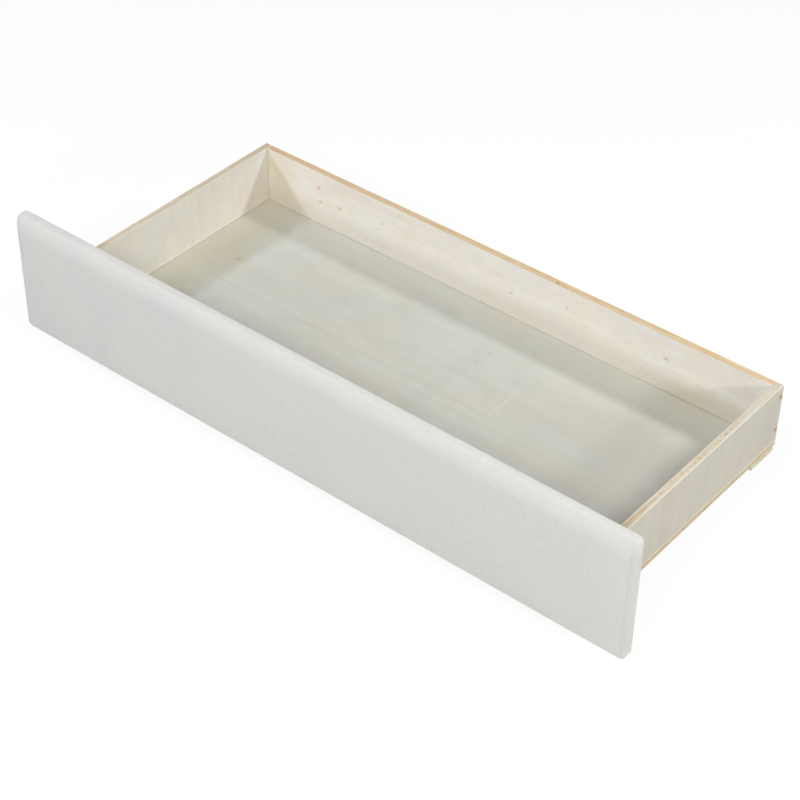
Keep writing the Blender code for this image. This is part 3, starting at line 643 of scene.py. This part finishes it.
# Plywood box. Four walls and the bottom are plywood with a thin white wash on both faces. The sawn edges are
# sanded and mostly bare, so the plies, their glue lines, saw marks and some open pores show.
def whitewashed_plywood(node, across, grain, face, edge, marks):
    """Rotary-cut veneer: long soft grain under a half-matt wash, and on the sawn edges stripes of plies with
    glue lines, saw marks and open pores."""
    made, tree, shader = new_finish(f"whitewashed_plywood_{node}")
    low, high = corner_points(node)
    place = add(tree, "TexCoord")
    where = place.outputs["Object"]
    core_half_share = 0.38  # of the thickness, from the middle of the board to its face veneers
    growth_lines = 26.0
    runs = {}
    # Each pattern's size in mm: along the grain, across it, and through the board
    for name, along, other, through in (
        ("bands", 240, 15, 15),
        ("fibres", 24, 1.6, 1.6),
        ("clouds", 46, 34, 34),
        ("figure", 420, 70, 70),
        ("tint", 110, 80, 80),
        ("saw", 1.3, 1.3, 9),
        ("streaks", 38, 38, 0.7),
        ("pores", 4.5, 4.5, 1.4),
        ("patches", 30, 30, 6),
    ):
        sizes = [other * MM] * 3
        sizes[grain] = along * MM
        sizes[across] = through * MM
        scaled = add(tree, "VectorMath", "DIVIDE", [where, tuple(sizes)])
        drawn = {"Vector": scaled, "Scale": 1.0, "Detail": 3.0, "Roughness": 0.6, "Distortion": 0.3}
        runs[name] = add(tree, "TexNoise", None, drawn)
    shade = add(tree, "Math", "MULTIPLY", [runs["clouds"], 0.45])
    for name, weight in (("bands", 0.3), ("fibres", 0.25)):
        shade = add(tree, "Math", "MULTIPLY_ADD", [runs[name], weight, shade])
    stops = [(0.36, face["grain"]), (0.5, face["wash"]), (0.64, face["pale"])]
    face_colour = add(tree, "ValToRGB", {"stops": stops}, [shade])
    tint = add(tree, "ValToRGB", {"stops": [(0.38, "#fffdfa"), (0.62, "#fcfeff")]}, [runs["tint"]])
    face_colour = add(tree, "Mix", tinting, {"Factor": 1.0, "A": face_colour, "B": tint})
    rings = add(tree, "Math", "MULTIPLY", [runs["figure"], growth_lines])
    rings = add(tree, "Math", "PINGPONG", [rings, 1.0])
    line = {"Value": rings, "From Min": 0.0, "From Max": 0.35, "To Min": face["figure"], "To Max": 0.0}
    line = add(tree, "MapRange", None, line)
    drawn = {"Factor": line, "A": face_colour, "B": linear("#b3a58c")}
    face_colour = add(tree, "Mix", covering, drawn)

    depth = add(tree, "SeparateXYZ", None, [where]).outputs[across]
    share = add(tree, "MapRange", None, {"Value": depth, "From Min": low[across], "From Max": high[across]})
    veneer, core, glue = edge["veneer"], edge["core"], edge["glue"]
    plies = [(0, veneer), (0.1, veneer), (0.13, core), (0.37, core), (0.4, glue), (0.43, core)]
    plies += [(1 - place, colour) for place, colour in plies[::-1]]
    stripes = add(tree, "ValToRGB", {"stops": plies}, [share])
    plain = add(tree, "ValToRGB", {"stops": [p for p in plies if p[1] != glue]}, [share])
    aged = add(tree, "MapRange", None, {"Value": runs["patches"], "From Min": 0.45, "From Max": 0.62})
    edge_colour = add(tree, "Mix", covering, {"Factor": aged, "A": plain, "B": stripes})
    worn = add(tree, "Mix", None, {"Factor": edge["sawn"], "A": runs["streaks"], "B": runs["saw"]})
    saw_shade = add(tree, "ValToRGB", {"stops": [(0.38, edge["saw"]), (0.58, "#ffffff")]}, [worn])
    from_middle = add(tree, "Math", "SUBTRACT", [share, 0.5])
    from_middle = add(tree, "Math", "ABSOLUTE", [from_middle])
    in_core = add(tree, "Math", "LESS_THAN", [from_middle, core_half_share])
    edge_colour = add(tree, "Mix", tinting, {"Factor": in_core, "A": edge_colour, "B": saw_shade})
    open_pore = add(tree, "MapRange", None, {"Value": runs["pores"], "From Min": 0.66, "From Max": 0.72})
    open_pore = add(tree, "Math", "MULTIPLY", [open_pore, in_core])
    drawn = {"Factor": open_pore, "A": edge_colour, "B": linear(edge["pore"])}
    edge_colour = add(tree, "Mix", covering, drawn)

    facing = add(tree, "SeparateXYZ", None, [place.outputs["Normal"]]).outputs[across]
    facing = add(tree, "Math", "ABSOLUTE", [facing])
    on_face = add(tree, "Math", "GREATER_THAN", [facing, 0.8])
    colour = add(tree, "Mix", covering, {"Factor": on_face, "A": edge_colour, "B": face_colour})
    wobble = add(tree, "TexNoise", None, {"Vector": where, "Scale": 1 / (2.5 * MM), "Detail": 2.0})
    # Each mark mixes the colour towards its own: knots, stains and streaks, and also painted shade and
    # painted light.
    for middle, reach, strength, mark_colour in marks:
        offset = add(tree, "VectorMath", "SUBTRACT", [where, tuple(c * MM for c in middle)])
        offset = add(tree, "VectorMath", "DIVIDE", [offset, tuple(r * MM for r in reach)])
        far = add(tree, "VectorMath", "LENGTH", [offset]).outputs["Value"]
        far = add(tree, "Math", "MULTIPLY_ADD", [wobble, 0.5, far])
        spread = {"Value": far, "From Min": 0.6, "From Max": 1.5, "To Min": strength, "To Max": 0.0}
        spread = add(tree, "MapRange", {"interpolation_type": "SMOOTHSTEP"}, spread)
        colour = add(tree, "Mix", covering, {"Factor": spread, "A": colour, "B": linear(mark_colour)})
    rough = add(tree, "Mix", None, {"Factor": on_face, "A": 0.78, "B": 0.6})
    face_relief = add(tree, "Math", "MULTIPLY_ADD", [runs["fibres"], 0.8, runs["bands"]])
    edge_relief = add(tree, "Math", "SUBTRACT", [runs["saw"], open_pore])
    relief = add(tree, "Mix", None, {"Factor": on_face, "A": edge_relief, "B": face_relief})
    bump = add(tree, "Bump", None, {"Height": relief, "Distance": 0.12 * MM, "Strength": 0.3})
    fill(tree, shader, {"Base Color": colour, "Roughness": rough, "Normal": bump})
    fill(tree, shader, {"IOR": 1.5, "Specular IOR Level": 0.3})
    return made


def pin_knots(across, grain, height, knots):
    """Marks for pin knots on one face: a stained ring drawn out along the grain, and a small dark core."""
    made = []
    for run, other, core, mark_colour in knots:
        middle = [run, run, run]
        middle[across] = height
        middle[3 - across - grain] = other
        for reach, strength, colour in ((3.0 * core, 0.4, mark_colour), (core, 0.32, "#a97c4a")):
            reaches = [reach, reach, reach]
            reaches[grain] *= 1.5
            reaches[across] = 1
            made.append((tuple(middle), tuple(reaches), strength, colour))
    return made


box_floor = corner_points("bottom_panel")[1].z / MM
back_face = corner_points("back_panel")[0].y / MM
rim = box_high.z / MM
outer_right = box_high.x / MM
inner_left = corner_points("left_side")[1].x / MM
floor_side = corner_points("bottom_panel")[0].z / MM
# Knots: place along and across the grain, then the core's radius, all in mm, and the stain round it
back_knots = [
    (-314.4, 113.2, 1.1, "#d9a878"),
    (-311.1, 91.5, 0.9, "#cf9a72"),
    (-276.4, 95.0, 1.3, "#dfb574"),
    (-199.5, 104.1, 0.6, "#c9b28c"),
    (-178.6, 113.4, 0.6, "#c9b28c"),
    (18.4, 91.5, 0.9, "#c4ad8a"),
    (107.2, 109.8, 0.8, "#c9b09a"),
    (259.9, 103.9, 1.2, "#dcae84"),
]
bottom_knots = [
    (-343.5, 60.4, 1.4, "#a09468"),
    (44.3, 90.2, 0.8, "#b0aa92"),
    (44.7, 96.0, 0.6, "#b0aa92"),
    (46.6, 116.7, 0.8, "#b0aa92"),
    (112.9, 54.9, 0.8, "#d2cf9e"),
]
bottom_marks_and_painted_shade = pin_knots(2, 0, box_floor, bottom_knots) + [
    ((34, 20, box_floor), (14, 120, 1), 0.10, "#a9aba0"),
    ((122, 40, box_floor), (3, 60, 1), 0.25, "#dcdac8"),
    ((0, 12, box_floor), (520, 3.5, 1), 0.14, "#a9a898"),
    ((120, -6, box_floor), (420, 2.5, 1), 0.12, "#a9a898"),
    # Painted shadow of the left wall, warmed as by light bounced off the wall.
    ((inner_left, 90, box_floor), (75, 170, 1), 0.5, "#c4bca6"),
    # Painted shade over the right part of the bottom, towards the right wall.
    ((275, 30, box_floor), (165, 130, 1), 0.36, "#b8b3a8"),
]
for y in (52.3, 1.0, -96.0):
    bottom_marks_and_painted_shade.append(((outer_right, y, floor_side + 4.5), (1, 1.8, 1.2), 0.6, "#8f6a3f"))
left_marks_and_painted_light = [
    ((inner_left, 10, box_floor + 2.2), (1, 400, 1.8), 0.5, "#f7f3ea"),
    # Painted light: lifts the shade in the wall's rear corner, where the back panel shadows it.
    ((inner_left, 192, box_floor + 65), (1, 18, 40), 0.4, "#e9ede9"),
]
right_marks = [
    ((outer_right - 5.0, 160, rim), (6, 60, 1), 0.2, "#e8e4de"),
    ((outer_right - 5.0, -125, rim), (6, 75, 1), 0.5, "#b9a385"),
    ((outer_right, 175, 95), (1, 45, 70), 0.2, "#b3aea4"),
    ((outer_right - 6.2, -140, rim), (0.7, 85, 1), 0.7, "#a8875c"),
    ((outer_right - 3.9, -160, rim), (0.7, 60, 1), 0.65, "#b08c60"),
    ((outer_right - 5.0, -88.7, rim), (1.6, 6, 1), 0.55, "#c39a6a"),
    ((outer_right - 5.4, -51.7, rim), (1.4, 5, 1), 0.5, "#c39a6a"),
    ((outer_right - 4.6, 83.3, rim), (1.3, 2.4, 1), 0.75, "#8d6a42"),
    ((outer_right - 5.0, 26.5, rim), (1.1, 1.8, 1), 0.7, "#9a7348"),
    ((outer_right - 4.4, 16.9, rim), (1.1, 1.8, 1), 0.7, "#9a7348"),
]
back_marks_painted_light_and_shade = pin_knots(1, 0, back_face, back_knots) + [
    ((88.5, back_face + 3.2, rim), (2.4, 1.4, 1), 0.8, "#7f5f38"),
    ((0, back_face + 9.4, rim), (430, 0.9, 1), 0.6, "#efe6d4"),
    ((0, back_face + 0.6, rim), (430, 0.9, 1), 0.6, "#d3b893"),
    # Painted shade: the back is darker towards its foot.
    ((0, back_face, box_floor), (900, 1, 36), 0.6, "#d5cfc5"),
    # Painted shadow in the back's lower right corner.
    ((350, back_face, box_floor), (160, 1, 34), 0.3, "#bcb38b"),
    # Painted light on the back's upper right end.
    ((425, back_face, rim - 12), (45, 1, 22), 0.6, "#fefefc"),
    # Painted shadow of the left wall on the back, near its left end.
    ((inner_left + 15, back_face, box_floor + 40), (45, 1, 60), 0.36, "#d5c7a8"),
]
grey_wash = {"grain": "#c5c4bc", "wash": "#c9c9c1", "pale": "#cdcec7", "figure": 0.05}
side_wash = {"grain": "#e2dcd3", "wash": "#e7e2da", "pale": "#ebe7e0", "figure": 0.04}
outer_wash = {"grain": "#c3beb3", "wash": "#c8c3b9", "pale": "#ccc8bf", "figure": 0.05}
warm_wash = {"grain": "#f0eae1", "wash": "#f5f0e9", "pale": "#f9f5f0", "figure": 0.07}
# Each kind of sawn edge, and how far its saw marks outweigh the streaks along it
edge_parts = ("veneer", "core", "glue", "saw", "pore", "sawn")
pale_edge = dict(zip(edge_parts, ("#e6e0cf", "#e0d8cb", "#cfb79a", "#dccfb8", "#b08d5f", 0.4)))
left_edge = dict(zip(edge_parts, ("#e3dac8", "#e0d6c4", "#ccb696", "#dfd1bd", "#a98457", 0.3)))
tan_edge = dict(zip(edge_parts, ("#e0cfb2", "#e6d0ae", "#cfac80", "#e6d3b6", "#b8935f", 0.15)))
brown_edge = dict(zip(edge_parts, ("#e3dbcb", "#dacbb1", "#bb966b", "#d9c5a9", "#93704a", 0.3)))
# Each board: the axis through it, the axis of its grain, its wash, its sawn edge and its marks
boards = {
    "bottom_panel": (2, 0, grey_wash, brown_edge, bottom_marks_and_painted_shade),
    "back_panel": (1, 0, warm_wash, tan_edge, back_marks_painted_light_and_shade),
    "inner_front": (1, 0, warm_wash, tan_edge, []),
    "left_side": (0, 2, side_wash, left_edge, left_marks_and_painted_light),
    "right_side": (0, 2, outer_wash, pale_edge, right_marks),
}
for board, (across, grain, face, edge, marks) in boards.items():
    repaint(board, whitewashed_plywood(board, across, grain, face, edge, marks))


# Battens. Two strips of planed pine, as long as the bottom is wide, are stapled under it at the front and at
# the rear. The casters are screwed to them, and they spread the load over the thin plywood.
def planed_pine():
    """Planed pine: pale earlywood, tan latewood lines along the strip, and a dark mark on one corner."""
    made, tree, shader = new_finish("planed_pine")
    place = add(tree, "TexCoord").outputs["Object"]
    ring_size = (420 * MM, 30 * MM, 3.2 * MM)
    fibre_size = (40 * MM, 1 * MM, 1 * MM)
    dark_corner = (410 * MM, 148.6 * MM, 42.4 * MM)
    ring_run = add(tree, "VectorMath", "DIVIDE", [place, ring_size])
    rings = {"Vector": ring_run, "Scale": 1.0, "Detail": 2.0, "Distortion": 0.4}
    rings = add(tree, "TexNoise", None, rings)
    rings = add(tree, "Math", "MULTIPLY", [rings, 9.0])
    folded = add(tree, "Math", "PINGPONG", [rings, 1.0])
    fibre_run = add(tree, "VectorMath", "DIVIDE", [place, fibre_size])
    fibres = add(tree, "TexNoise", None, {"Vector": fibre_run, "Scale": 1.0, "Detail": 3.0})
    line = add(tree, "Math", "MULTIPLY_ADD", [fibres, 0.35, folded])
    line = add(tree, "Math", "DIVIDE", [line, 1.35])
    tones = [(0.15, "#ddd6c6"), (0.6, "#d5cab4"), (0.95, "#bca27e")]
    tone = add(tree, "ValToRGB", {"stops": tones}, [line])
    offset = add(tree, "VectorMath", "SUBTRACT", [place, dark_corner])
    far = add(tree, "VectorMath", "LENGTH", [offset]).outputs["Value"]
    spot = {"Value": far, "From Min": 2.2 * MM, "From Max": 4.5 * MM, "To Min": 0.7, "To Max": 0.0}
    spot = add(tree, "MapRange", None, spot)
    tone = add(tree, "Mix", covering, {"Factor": spot, "A": tone, "B": linear("#7d7362")})
    bump = add(tree, "Bump", None, {"Height": line, "Distance": 0.08 * MM, "Strength": 0.4})
    fill(tree, shader, {"Base Color": tone, "Normal": bump, "Roughness": 0.62})
    return made


pine = planed_pine()
for batten in ("front_batten", "rear_batten"):
    repaint(batten, pine)


# Staples under the drawer, of the same zinc-plated wire as those in the lining. Rows along the front and
# both sides fix the bottom to the walls above it, and two rows fix each batten to the bottom.
row_lean = 12  # degrees, either way


def staple_row(start, end, pitch, height):
    """Places along a line on a downward face, each staple lying along the line."""
    start, end = Vector((*start, height)), Vector((*end, height))
    count = max(1, round((end - start).length / pitch))
    way = math.atan2(end.y - start.y, end.x - start.x)
    row = []
    for k in range(count + 1):
        lean = math.radians(rough_hand.uniform(-row_lean, row_lean))
        turned = Matrix.Rotation(way + lean, 4, "Z") @ Matrix.Rotation(math.pi, 4, "X")
        row.append(Matrix.Translation(start.lerp(end, k / count)) @ turned)
    return row


batten_boxes = [corner_points("front_batten"), corner_points("rear_batten")]
staple_from_edge = 5 * MM
staple_past_batten = 14 * MM
bottom_pitch = 78 * MM
batten_pitch = 110 * MM
batten_row_share = 0.62  # of the batten's half length, between its casters
under_bottom = []
for side in (-1, 1):
    x = side * (box_high.x - staple_from_edge)
    row_start = (x, batten_boxes[0][1].y + staple_past_batten)
    row_end = (x, batten_boxes[1][0].y - staple_past_batten)
    under_bottom += staple_row(row_start, row_end, bottom_pitch, box_low.z)
row_y = corner_points("bottom_panel")[0].y + staple_from_edge
row_reach = box_high.x - staple_past_batten
under_bottom += staple_row((-row_reach, row_y), (row_reach, row_y), bottom_pitch, box_low.z)
under_battens = []
for low, high in batten_boxes:
    for row_y in (low.y + 2 * staple_from_edge, high.y - 2 * staple_from_edge):
        row_reach = batten_row_share * high.x
        under_battens += staple_row((-row_reach, row_y), (row_reach, row_y), batten_pitch, low.z)
staples("bottom_staples", under_bottom)
staples("batten_staples", under_battens)


# Screws. Countersunk chipboard screws with a yellow zinc finish draw the walls together. Round-headed ones
# hold the front, and short bright ones the casters. All have a cross recess punched in the head.
def turned_skin(bm, profile, steps):
    """A profile of (radius, height) points turned about Z; a point on the axis becomes one point."""
    rows = []
    for radius, height in profile:
        if radius == 0:
            rows.append([bm.verts.new((0, 0, height))] * steps)
            continue
        angles = [2 * math.pi * k / steps for k in range(steps)]
        rows.append([bm.verts.new((radius * math.cos(a), radius * math.sin(a), height)) for a in angles])
    open_ended = profile[0][0] == 0
    for row, following in zip(rows, rows[1:] if open_ended else rows[1:] + rows[:1]):
        for k in range(steps):
            j = (k + 1) % steps
            corners = [row[k], row[j], following[j], following[k]]
            bm.faces.new([c for i, c in enumerate(corners) if c not in corners[:i]])


def worked_mesh(name, bm, tool_bm, operation):
    """The first shape with the second cut from it or joined to it, smooth where it curves."""
    pair = []
    for label, shape in ((name, bm), (name + "_tool", tool_bm)):
        bmesh.ops.recalc_face_normals(shape, faces=shape.faces)
        mesh = bpy.data.meshes.new(label)
        shape.to_mesh(mesh)
        shape.free()
        pair.append(bpy.data.objects.new(label, mesh))
        bpy.context.collection.objects.link(pair[-1])
    step = pair[0].modifiers.new("worked", "BOOLEAN")
    step.operation = operation
    step.object = pair[1]
    result = bpy.data.meshes.new_from_object(pair[0].evaluated_get(bpy.context.evaluated_depsgraph_get()))
    result.name = name
    for made in pair:
        bpy.data.objects.remove(made)
    return smooth(result, 35)


def cross_recess(reach, wing, depth):
    """A punched cross that narrows as it goes down, open above height 0."""
    bm = bmesh.new()
    rows = []
    for height, long_share, wide_share in ((depth, 1.0, 1.0), (0, 1.0, 1.0), (-depth, 0.4, 0.7)):
        far, near = reach * long_share, wing * wide_share / 2
        arm = ((far, -near), (far, near), (near, near))
        row = []
        for turn in range(4):
            spin = Matrix.Rotation(turn * math.pi / 2, 4, "Z")
            row += [bm.verts.new(spin @ Vector((x, y, height))) for x, y in arm]
        rows.append(row)
    bm.faces.new(rows[0])
    bm.faces.new(rows[-1])
    for row, following in zip(rows, rows[1:]):
        for k in range(len(row)):
            j = (k + 1) % len(row)
            bm.faces.new((row[k], row[j], following[j], following[k]))
    return bm


def screw_mesh(name, head, shank, length, head_height, sunk):
    """A wood screw along -Z: a sunk head lies below height 0, a round one stands on it."""
    if sunk:
        lip = 0.25 * MM
        profile = [(0, 0), (head - lip, 0), (head, -lip), (head, -2 * lip), (shank, -head_height)]
    else:
        arc = [math.radians(angle) for angle in range(75, -1, -15)]
        profile = [(0, head_height)] + [(head * math.cos(a), head_height * math.sin(a)) for a in arc]
        profile.append((shank, 0))
    point = 1.6 * shank
    profile += [(shank, point - length), (0, -length)]
    bm = bmesh.new()
    turned_skin(bm, profile, round_steps)
    reach, wing, depth = 0.58 * head, 0.17 * head, 0.62 * head_height
    crown = 0 if sunk else 0.93 * head_height
    recess = cross_recess(reach, wing, depth)
    bmesh.ops.translate(recess, verts=recess.verts, vec=(0, 0, crown))
    return worked_mesh(name, bm, recess, "DIFFERENCE")


def yellow_zinc():
    """Yellow chromate over zinc: brassy, with a faint rainbow."""
    made, tree, shader = new_finish("yellow_chromated_zinc")
    place = add(tree, "TexCoord").outputs["Object"]
    film = add(tree, "TexNoise", None, {"Vector": place, "Scale": 1 / (3 * MM), "Detail": 2.0})
    tones = [(0.3, "#a87422"), (0.5, "#c4923a"), (0.7, "#c9a35e")]
    tone = add(tree, "ValToRGB", {"stops": tones}, [film])
    gloss = add(tree, "MapRange", None, {"Value": film, "To Min": 0.28, "To Max": 0.5})
    fill(tree, shader, {"Base Color": tone, "Roughness": gloss, "Metallic": 1.0})
    return made


brassy = yellow_zinc()
round_steps = 32
driver_turn = 2.4  # radians from one screw's cross to the next one's
# Each kind: the axis it lies along, its finish, slot, shank radius and head height, and whether it is sunk
screw_kinds = {
    "corner_screw": (0, brassy, "yellow_zinc_screw", 1.75 * MM, 2.3 * MM, True),
    "front_screw": (1, brassy, "yellow_zinc_screw", 2.0 * MM, 2.4 * MM, False),
    "caster_screw": (2, zinc, "zinc_plated_steel", 1.75 * MM, 2.2 * MM, False),
}
for kind, (axis, finish, slot, shank, head_height, sunk) in screw_kinds.items():
    nodes = sorted(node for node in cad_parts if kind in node)
    low, high = corner_points(nodes[0])
    size = high - low
    length = size[axis] - (0 if sunk else head_height)
    head_radius = max(size[(axis + 1) % 3], size[(axis + 2) % 3]) / 2
    mesh = screw_mesh(kind, head_radius, shank, length, head_height, sunk)
    for number, node in enumerate(nodes):
        low, high = corner_points(node)
        middle = (low + high) / 2
        out = Vector((0, 0, 0))
        out[axis] = (math.copysign(1, middle.x), 1, -1)[axis]
        seat = middle + out * (size[axis] / 2 - (0 if sunk else head_height))
        screw = add_piece("recessed_" + node, mesh, finish, "root")
        outward = out.to_track_quat("Z", "Y").to_matrix().to_4x4()
        turned = outward @ Matrix.Rotation(driver_turn * number, 4, "Z")
        screw.matrix_world = Matrix.Translation(seat) @ turned
        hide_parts(node)


# Casters. Each is a pressed zinc-plated bracket with a screw plate and two cheeks, a steel rivet for its axle
# and a moulded nylon wheel, ribbed on both sides, that turns on the rivet.
def moulded_nylon():
    """Black nylon: half-matt with a fine moulded grain, and a greyer, scuffed tread."""
    made, tree, shader = new_finish("black_moulded_nylon")
    place = add(tree, "TexCoord").outputs["Object"]
    grain = add(tree, "TexNoise", None, {"Vector": place, "Scale": 1 / (0.7 * MM), "Detail": 3.0})
    scuff = add(tree, "TexNoise", None, {"Vector": place, "Scale": 1 / (4 * MM), "Detail": 5.0})
    turned = add(tree, "VectorMath", "MULTIPLY", [place, (1, 1, 0)])
    radius = add(tree, "VectorMath", "LENGTH", [turned]).outputs["Value"]
    tread = {"Value": radius, "From Min": 13.9 * MM, "From Max": 14.8 * MM, "To Min": 0.1, "To Max": 1.0}
    tread = add(tree, "MapRange", None, tread)
    dust = add(tree, "Math", "MULTIPLY", [tread, scuff])
    tone = add(tree, "ValToRGB", {"stops": [(0.1, "#1b1c1e"), (0.7, "#3d3c3a")]}, [dust])
    gloss = add(tree, "MapRange", None, {"Value": dust, "To Min": 0.38, "To Max": 0.7})
    bump = add(tree, "Bump", None, {"Height": grain, "Distance": 0.03 * MM, "Strength": 0.4})
    fill(tree, shader, {"Base Color": tone, "Roughness": gloss, "Normal": bump})
    return made


wheel_low, wheel_high = corner_points("front_left_wheel")
wheel_radius = (wheel_high.z - wheel_low.z) / 2
wheel_half = (wheel_high.x - wheel_low.x) / 2
wheel_bore = 2.8 * MM
hub_radius = 5.5 * MM
hub_proud = 0.5 * MM
web_half = 1.5 * MM
rim_radius = 12.5 * MM
tread_shoulder = 2 * MM
rim_half = wheel_half - hub_proud
parting_line = 0.12 * MM
rib_count = 5
rib_thick = 1.6 * MM
rib_low = 0.7 * MM  # below the rim's side
rivet_head_height = 1.8 * MM
rivet_shank = 2.5 * MM
wheel_steps = 72
rivet_steps = 36
shoulder_parts = 6
pressed_round = 0.2 * MM


def wheel_skin():
    """The wheel, turned about its bore, with ribs between hub and rim on both sides."""
    soft = 0.4 * MM
    web_fillet = 0.8 * MM
    side = [
        (wheel_bore, wheel_half),
        (hub_radius - soft, wheel_half),
        (hub_radius, wheel_half - soft),
        (hub_radius + soft / 2, web_half + web_fillet),
        (hub_radius + web_fillet, web_half),
        (rim_radius - 1.5 * web_fillet, web_half),
        (rim_radius - web_fillet / 2, web_half + web_fillet),
        (rim_radius - soft, rim_half - soft),
        (rim_radius, rim_half),
    ]
    for part in range(shoulder_parts + 1):
        angle = part / shoulder_parts * math.pi / 2
        radius = wheel_radius - tread_shoulder * (1 - math.sin(angle))
        side.append((radius, rim_half - tread_shoulder * (1 - math.cos(angle))))
    side += [(wheel_radius, 2 * parting_line), (wheel_radius - parting_line, parting_line)]
    bm = bmesh.new()
    turned_skin(bm, side + [(radius, -height) for radius, height in side[::-1]], wheel_steps)
    ribs = bmesh.new()
    for k in range(rib_count):
        spin = Matrix.Rotation(2 * math.pi * (k + 0.5) / rib_count, 4, "Z")
        for way in (-1, 1):
            rows = []
            for height, thick in ((web_half / 2, rib_thick), (rim_half - rib_low, 0.8 * rib_thick)):
                inner, outer = hub_radius - soft, rim_radius
                ends = ((inner, -1), (outer, -1), (outer, 1), (inner, 1))
                corners = [Vector((r, s * thick / 2, way * height)) for r, s in ends]
                rows.append([ribs.verts.new(spin @ corner) for corner in corners])
            ribs.faces.new(rows[0])
            ribs.faces.new(rows[1])
            for i in range(4):
                j = (i + 1) % 4
                ribs.faces.new((rows[0][i], rows[0][j], rows[1][j], rows[1][i]))
    return worked_mesh("caster_wheel", bm, ribs, "UNION")


def rivet_mesh(half_length, head, head_height, shank):
    """A rivet along Z: a domed head at one end, and one rolled over round a shallow hollow at the other."""
    arc = [math.radians(angle) for angle in range(0, 90, 15)]
    seat = half_length - head_height
    dome = [(head * math.cos(a), seat + head_height * math.sin(a)) for a in arc] + [(0, half_length)]
    hollow = 0.35 * head_height
    rolled = [(0, hollow - half_length), (0.3 * head, hollow - half_length), (0.45 * head, -half_length)]
    rolled += [(head * math.cos(a), -seat - head_height * math.sin(a)) for a in arc[-2::-1]]
    bm = bmesh.new()
    turned_skin(bm, rolled + [(shank, -seat), (shank, seat)] + dome, rivet_steps)
    bmesh.ops.recalc_face_normals(bm, faces=bm.faces)
    mesh = bpy.data.meshes.new("caster_rivet")
    bm.to_mesh(mesh)
    bm.free()
    return smooth(mesh, 35)


def pressed_mesh(node):
    """A copy of the bracket, its flat faces whole again, ready for its edges to be rounded."""
    bm = bmesh.new()
    bm.from_mesh(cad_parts[node].data)
    bmesh.ops.remove_doubles(bm, verts=bm.verts, dist=0.001 * MM)
    bmesh.ops.dissolve_limit(bm, angle_limit=math.radians(1), verts=bm.verts, edges=bm.edges)
    mesh = bpy.data.meshes.new("pressed_" + node)
    bm.to_mesh(mesh)
    bm.free()
    return smooth(mesh, 40)


nylon = moulded_nylon()
wheel_mesh = wheel_skin()
axle_low, axle_high = corner_points("front_left_caster_axle")
axle_size = axle_high - axle_low
rivet = rivet_mesh(axle_size.x / 2, axle_size.z / 2, rivet_head_height, rivet_shank)
for corner in ("front_left", "front_right", "rear_left", "rear_right"):
    bracket_node = f"{corner}_caster_bracket"
    pressed = pressed_mesh(bracket_node)
    bracket = add_piece(f"{corner}_pressed_bracket", pressed, zinc, "root")
    rounded = bracket.modifiers.new("pressed_edges", "BEVEL")
    rounded.width = pressed_round
    rounded.segments = 2
    rounded.angle_limit = math.radians(40)
    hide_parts(bracket_node)
    low, high = corner_points(f"{corner}_wheel")
    on_axle = Matrix.Translation((low + high) / 2) @ Matrix.Rotation(math.pi / 2, 4, "Y")
    wheel = add_piece(f"{corner}_moulded_wheel", wheel_mesh, nylon, f"{corner}_wheel_body")
    axle = add_piece(f"{corner}_rivet_axle", rivet, zinc, "root")
    wheel.matrix_world = on_axle
    axle.matrix_world = on_axle
    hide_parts(f"{corner}_wheel")
    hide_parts(f"{corner}_caster_axle")

size = {"cad": [list(corner) for corner in cad_box], "visual": [list(corner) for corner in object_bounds()]}
